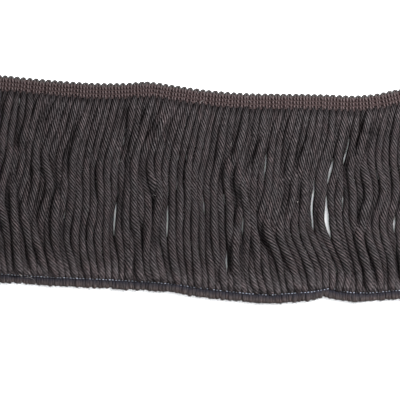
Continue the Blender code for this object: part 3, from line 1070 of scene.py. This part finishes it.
hair_s = np.linspace(0, 1, 4)
hair_run = {
    "points": np.stack([
        HAIR_BEND[0] * hair_s ** 2,
        HAIR_BEND[1] * hair_s ** 3,
        -HAIR_DEPTH + HAIR_LENGTH * hair_s,
    ], 1),
    "half_width": HAIR_HALF_WIDTH * (1 - HAIR_TAPER * hair_s),
}
hair_finish = yarn_finish("charcoal_hair", (0.070, 0.064, 0.067), (0.080, 0.064, 0.066), streak=0.1)
hair = unit_yarn("hair", [hair_run], Strands=2, Sides=3, Groove=0.05, Finish=hair_finish)
fuzz = fuzz_tree()
hairy = [(piece, CORD_HAIRS) for piece in cord_pieces] + [(looped_ends, LOOP_HAIRS)]
for number, (source, hairs) in enumerate(hairy):
    stray = grown(f"fuzz_{number + 1}", fuzz, source.data.copy(), **{
        "Hair": hair,
        "Hairs": hairs / MM ** 2,
        "Seed": number,
        "Finish": hair_finish,
    })
    fitted(stray, "fringe")
bpy.data.objects.remove(hair)

# Retaining stitch.
# A smooth pale sewing thread is chained across the cords where their looped ends begin, and holds them in
# line until the trim is sewn on. Each stitch rises to a small pale dot and dips between the strands again.
DASH_PITCH = 1.58
THREAD_HALF = 0.21
THREAD_TOP = 2.06
THREAD_DIP = 1.10
DASH_SHARE = 0.65
# How unevenly its dots rise and drift from their line, how its width goes from dip to dot, its twist for
# each mm, and how dark the painted shade in its dips is.
DASH_RISE = 0.15
DASH_DRIFT = 0.07
DIP_WIDTH = 0.7
DOT_WIDER = 0.35
THREAD_TURN = 3.0
DIP_DARK = 0.75
THREAD_STEPS = 12
PAST_LAST_CORD = 1.6
first, last = cord_x[0, -1] - PAST_LAST_CORD, cord_x[-1, -1] + PAST_LAST_CORD
dashes = int(round((last - first) / DASH_PITCH))
thread_s = np.arange(dashes * THREAD_STEPS + 1) / THREAD_STEPS
dash_rise = np.interp(thread_s, np.arange(dashes + 1), rng.normal(0, DASH_RISE, dashes + 1))
dash_drift = np.interp(thread_s, np.arange(dashes + 1), rng.normal(0, DASH_DRIFT, dashes + 1))
lift = (0.5 - 0.5 * np.cos(2 * np.pi * thread_s)) ** DASH_SHARE
thread_x = np.linspace(first, last, len(thread_s))
thread_run = {
    "points": np.stack([
        thread_x,
        end_line(thread_x) + STITCH_TO_END + dash_drift,
        THREAD_TOP - THREAD_HALF + dash_rise - THREAD_DIP * (1 - lift),
    ], 1),
    "half_width": THREAD_HALF * (DIP_WIDTH + DOT_WIDER * lift),
    "turn": thread_x * THREAD_TURN,
    "crease_shade": DIP_DARK * (1 - lift),
}
thread_finish = yarn_finish(
    "pale_thread", (0.24, 0.26, 0.32), (0.30, 0.32, 0.37), groove_shade=0.7, roughness=0.6, fibre_bump=0.2,
    streak=0.1, shine=0.2,
)
retaining = grown(
    "retaining_stitch_thread", twisted_yarn, path_mesh([thread_run]), Strands=2, Sides=8, Groove=0.12,
    Finish=thread_finish,
)
fitted(retaining, "retaining_stitch")

# Pale lint.
# A few pale fibres from other cloth lie on the trim, and the chained thread's own end lies loose at the
# left. They rest on top of the cords, and thin out towards both ends.
LINT_LEAST_HEIGHT = 1.5
LINT_TAPER = 1.6
LINT_TURN = 8
# For each fibre: the middle's place along and across the trim, its length, the way it points in degrees, how
# far it bends, and its half-width.
LINT = (
    (-21.6, -4.1, 2.9, -30.0, 0.5, 0.09),
    (-38.3, 12.6, 1.0, 20.0, 0.2, 0.10),
    (47.3, -6.8, 0.6, 60.0, 0.1, 0.24),
    (15.4, 21.5, 3.0, 78.0, 0.3, 0.07),
    (16.2, 5.3, 0.8, 40.0, 0.1, 0.12),
    (1.2, 41.5, 3.2, 32.0, 0.7, 0.07),
    (22.6, 44.1, 0.6, 10.0, 0.1, 0.14),
    (23.8, 42.2, 0.6, -30.0, 0.1, 0.12),
    (-82.4, -44.2, 5.0, -16.0, 0.8, 0.06),
    (-86.9, -42.5, 2.2, -45.0, 0.3, 0.14),
)


def top_of_trim(x, y):
    """How high the trim's cords stand at a place."""
    far = np.hypot(cord_x - x, cord_y - y)
    stands = cord_z + np.sqrt(np.clip(cord_half ** 2 - far ** 2, 0, None)) * CORD_SQUASH
    return max(LINT_LEAST_HEIGHT, float(np.where(far < cord_half, stands, 0).max()))


lint_runs = []
for x, y, length, way, bend, half in LINT:
    s = np.linspace(-0.5, 0.5, 9)
    ahead = np.array([np.cos(np.radians(way)), np.sin(np.radians(way))])
    beside = np.array([-ahead[1], ahead[0]])
    flat = np.outer(s * length, ahead) + np.outer(bend * (1 - 4 * s ** 2), beside)
    lint_runs.append({
        "points": np.stack([x + flat[:, 0], y + flat[:, 1], np.full_like(s, top_of_trim(x, y) + half)], 1),
        "half_width": half * (1 - LINT_TAPER * np.abs(s)),
        "turn": s * LINT_TURN,
        "tint": rng.uniform(),
    })
lint_finish = yarn_finish("pale_lint", (0.26, 0.25, 0.25), (0.30, 0.27, 0.25), groove_shade=0.8, streak=0.2)
lint = grown(
    "pale_lint", twisted_yarn, path_mesh(lint_runs), Strands=2, Sides=6, Groove=0.1, Finish=lint_finish
)
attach(lint, root_body)

# Surface, lights and camera.
# The trim lies on a plain white surface under soft, even studio light, and the camera looks straight down
# from far above, so nothing is foreshortened.
VIEW_MIDDLE = (0.0, -5.82)
VIEW_WIDTH = 194.0
LENS = 135.0
SENSOR = 36.0
FOCUS_HEIGHT = 2.0
bpy.ops.mesh.primitive_plane_add(size=6.0, location=(0, 0, 0))
surface = bpy.context.object
surface.name = "surface"
white = bpy.data.materials.new("white_surface")
white.use_nodes = True
white.node_tree.nodes["Principled BSDF"].inputs["Base Color"].default_value = (0.93, 0.945, 0.965, 1.0)
white.node_tree.nodes["Principled BSDF"].inputs["Roughness"].default_value = 0.7
surface.data.materials.append(white)


def soft_light(name, place, size, power):
    """A square soft light that faces the middle of the trim."""
    lamp = bpy.data.lights.new(name, "AREA")
    lamp.size = size
    lamp.energy = power
    made = bpy.data.objects.new(name, lamp)
    made.location = place
    made.rotation_euler = (-Vector(place)).to_track_quat("-Z", "Y").to_euler()
    bpy.context.scene.collection.objects.link(made)


soft_light("key", (0.42, 0.32, 0.43), 0.18, 18.0)
soft_light("top", (0.15, 0.05, 1.10), 0.6, 8.0)
world = bpy.data.worlds.new("studio")
world.use_nodes = True
world.node_tree.nodes["Background"].inputs["Color"].default_value = (1.0, 1.0, 1.0, 1.0)
world.node_tree.nodes["Background"].inputs["Strength"].default_value = 0.60
bpy.context.scene.world = world
bpy.context.scene.view_settings.view_transform = "Standard"

lens = bpy.data.cameras.new("camera")
lens.lens = LENS
lens.sensor_width = SENSOR
camera = bpy.data.objects.new("camera", lens)
camera.location = (
    shift.x + VIEW_MIDDLE[0] * MM,
    shift.y + VIEW_MIDDLE[1] * MM,
    VIEW_WIDTH * MM * LENS / SENSOR + FOCUS_HEIGHT * MM,
)
bpy.context.scene.collection.objects.link(camera)
bpy.context.scene.camera = camera
